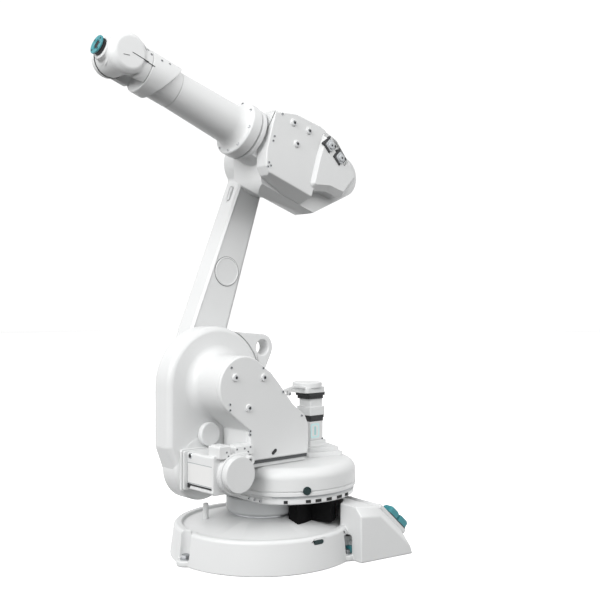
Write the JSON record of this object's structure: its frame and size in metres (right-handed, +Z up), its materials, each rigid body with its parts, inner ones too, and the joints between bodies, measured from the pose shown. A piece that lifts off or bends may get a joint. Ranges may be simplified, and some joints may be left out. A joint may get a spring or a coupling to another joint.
{
  "type": "industrial robot arm",
  "caption": "Six-axis articulated industrial robot arm on a bolted round base, with a side-mounted lower arm, a conical forearm and a wrist with a bolted tool flange.",
  "frame": {"origin": "centre of the base on the floor, on axis 1", "axes": "+Z up along axis 1, +X where the arm points at rest (the base's own front is turned 5 degrees clockwise from it), +Y to the arm's left, the side with the covers"},
  "size_m": [0.8948, 0.5878, 1.3906],
  "materials": {
    "white_paint": "semi-gloss powder coat on cast aluminium and iron",
    "teal_plastic": "moulded, matt",
    "dark_plastic": "moulded connector shells, matt",
    "steel": "turned",
    "teal_flange": "satin, on a turned flange"
  },
  "bodies": {
    "base": {"base_casting": "white_paint", "bearing_race": "steel", "stop_pin": "steel", "oval_plug": "teal_plastic", "socket_panel": "white_paint", "side_socket": "teal_plastic", "cable_socket_1": "teal_plastic", "cable_socket_2": "teal_plastic", "cable_socket_3": "teal_plastic"},
    "frame": {"turntable_hub": "white_paint", "turntable_skirt": "white_paint", "turntable_bowl": "white_paint", "bowl_plug": "teal_plastic", "frame_plate": "white_paint", "frame_drum": "white_paint", "cover_plate": "white_paint", "plate_boss": "white_paint", "motor_flange": "white_paint", "motor_box": "white_paint", "motor_ring": "white_paint", "motor_cap": "white_paint", "upright_foot": "white_paint", "upright_body": "white_paint", "upright_flange": "white_paint", "upright_neck": "white_paint", "upright_plate": "white_paint"},
    "lower_arm": {"lower_arm": "white_paint", "shoulder_hub": "white_paint", "arm_plug": "white_paint"},
    "arm_house": {"house_casting": "white_paint", "elbow_drum": "white_paint", "house_cover": "white_paint", "house_collar": "white_paint", "connector_block": "dark_plastic"},
    "forearm": {"forearm_flange": "white_paint", "forearm_tube": "white_paint", "wrist_casting": "white_paint", "wrist_cheek_left": "white_paint", "wrist_cheek_right": "white_paint"},
    "tilt": {"wrist_tilt": "white_paint"},
    "tool": {"tool_flange": "teal_flange"}
  },
  "joints": [
    {"name": "axis_1", "type": "hinge", "parent": "base", "child": "frame", "pos_m": [0, 0, 0.1], "axis": [0, 0, 1], "range_deg": [-180, 180]},
    {"name": "axis_2", "type": "hinge", "parent": "frame", "child": "lower_arm", "pos_m": [0.15, -0.1, 0.4865], "axis": [0, 1, 0], "range_deg": [-43, 130]},
    {"name": "axis_3", "type": "hinge", "parent": "lower_arm", "child": "arm_house", "pos_m": [-0.08941, -0.1, 1.14428], "axis": [0, -1, 0], "range_deg": [-54, 236]},
    {"name": "axis_4", "type": "hinge", "parent": "arm_house", "child": "forearm", "pos_m": [0.07161, 0, 1.19879], "axis": [0.9472, 0, 0.3206], "range_deg": [-200, 200]},
    {"name": "axis_5", "type": "hinge", "parent": "forearm", "child": "tilt", "pos_m": [0.47891, 0, 1.33665], "axis": [0, 1, 0], "range_deg": [-115, 115]},
    {"name": "axis_6", "type": "hinge", "parent": "tilt", "child": "tool", "pos_m": [0.52627, 0, 1.35268], "axis": [0.9472, 0, 0.3206], "range_deg": [-400, 400]}
  ]
}
